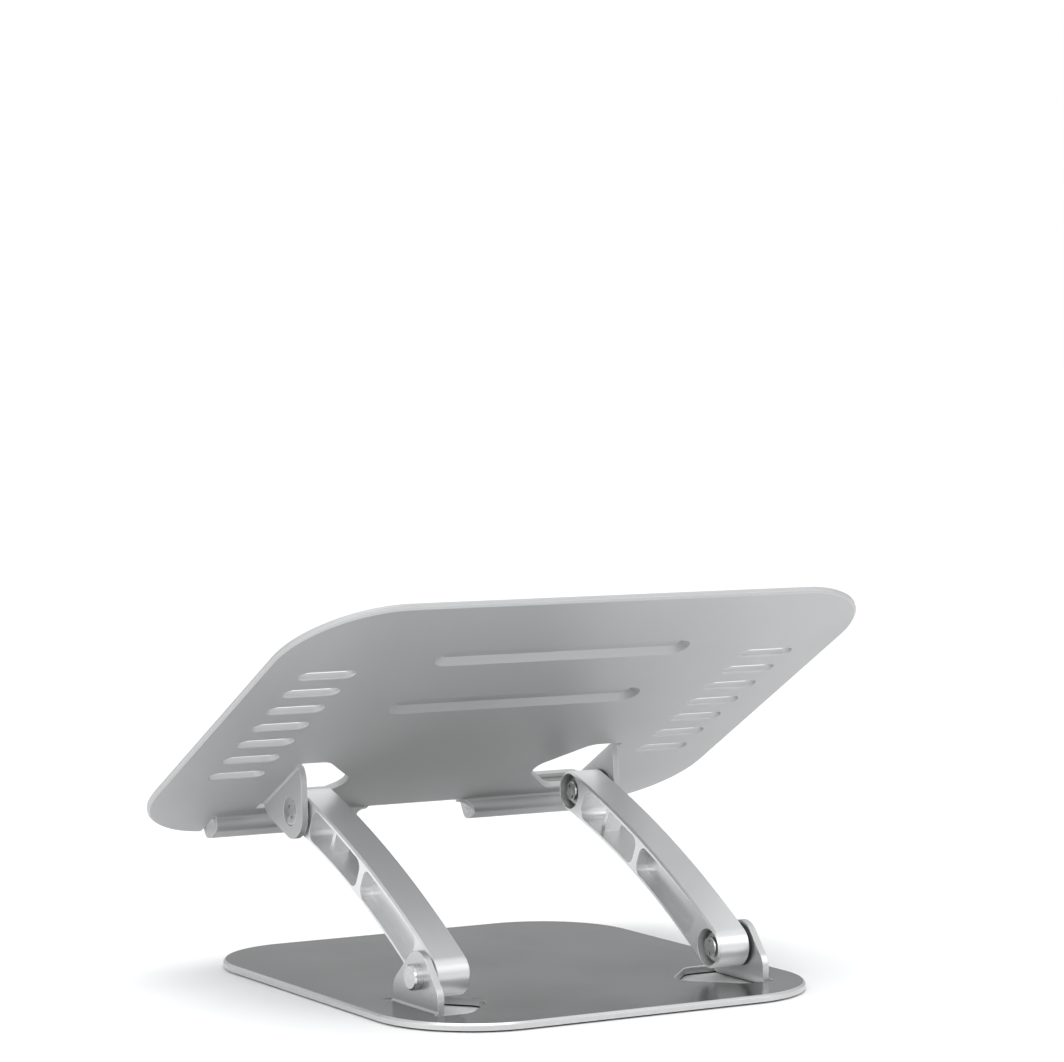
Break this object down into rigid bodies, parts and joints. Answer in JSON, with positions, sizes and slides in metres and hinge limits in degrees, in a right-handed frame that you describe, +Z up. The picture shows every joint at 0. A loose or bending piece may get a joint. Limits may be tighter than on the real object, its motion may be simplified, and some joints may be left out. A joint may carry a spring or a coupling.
{
  "type": "laptop stand",
  "caption": "Folding aluminium laptop stand: a slotted tray with front hooks on two curved arms, friction pivots and a flat base.",
  "frame": {"origin": "on the ground, under the middle of the base plate", "axes": "+X to the user's right along the pivot lines, +Y to the rear, away from the user, +Z up"},
  "size_m": [0.2844, 0.2242, 0.174],
  "materials": {
    "base_aluminium": "satin anodised dark grey sheet with a bright polished edge",
    "tray_aluminium": "fine satin anodised silver sheet with a bright polished edge",
    "arm_aluminium": "satin anodised silver with bright chamfers",
    "fastener_steel": "turned steel",
    "spring_steel": "oiled spring steel",
    "washer_black": "black friction plastic",
    "mat_rubber": "black silicone mat",
    "silicone": "grey silicone pad"
  },
  "bodies": {
    "base": {"base_plate": "base_aluminium", "base_mat": "mat_rubber", "right_base_bolt": "fastener_steel", "left_base_bolt": "fastener_steel", "right_base_ear_washer": "washer_black", "left_base_ear_washer": "washer_black", "right_base_inner_washer": "washer_black", "left_base_inner_washer": "washer_black", "right_base_disc_springs": "spring_steel", "left_base_disc_springs": "spring_steel", "right_base_thrust_washer": "fastener_steel", "left_base_thrust_washer": "fastener_steel", "right_base_nut": "fastener_steel", "left_base_nut": "fastener_steel"},
    "arms": {"right_arm": "arm_aluminium", "left_arm": "arm_aluminium"},
    "tray_pivots": {"right_tray_bolt": "fastener_steel", "left_tray_bolt": "fastener_steel", "right_tray_ear_washer": "washer_black", "left_tray_ear_washer": "washer_black", "right_tray_inner_washer": "washer_black", "left_tray_inner_washer": "washer_black", "right_tray_disc_springs": "spring_steel", "left_tray_disc_springs": "spring_steel", "right_tray_thrust_washer": "fastener_steel", "left_tray_thrust_washer": "fastener_steel", "right_tray_nut": "fastener_steel", "left_tray_nut": "fastener_steel"},
    "tray": {"tray_plate": "tray_aluminium", "right_hook_pad": "silicone", "left_hook_pad": "silicone", "rear_tray_pad": "silicone", "front_tray_pad": "silicone"}
  },
  "joints": [
    {"name": "stand_fold", "type": "hinge", "parent": "base", "child": "arms", "pos_m": [0, 0.0648, 0.017], "axis": [-1, 0, 0], "range_deg": [-25.7, 39.3]},
    {"name": "tray_level", "type": "hinge", "parent": "arms", "child": "tray_pivots", "pos_m": [0, -0.05117, 0.07281], "axis": [1, 0, 0], "range_deg": [-33.5, 51.2]},
    {"name": "tray_tilt", "type": "hinge", "parent": "tray_pivots", "child": "tray", "pos_m": [0, -0.05117, 0.07281], "axis": [1, 0, 0], "range_deg": [-22.7, 4.2]}
  ],
  "couplings": [
    {"joint": "tray_level", "follows": "stand_fold", "ratio": 1.3}
  ]
}
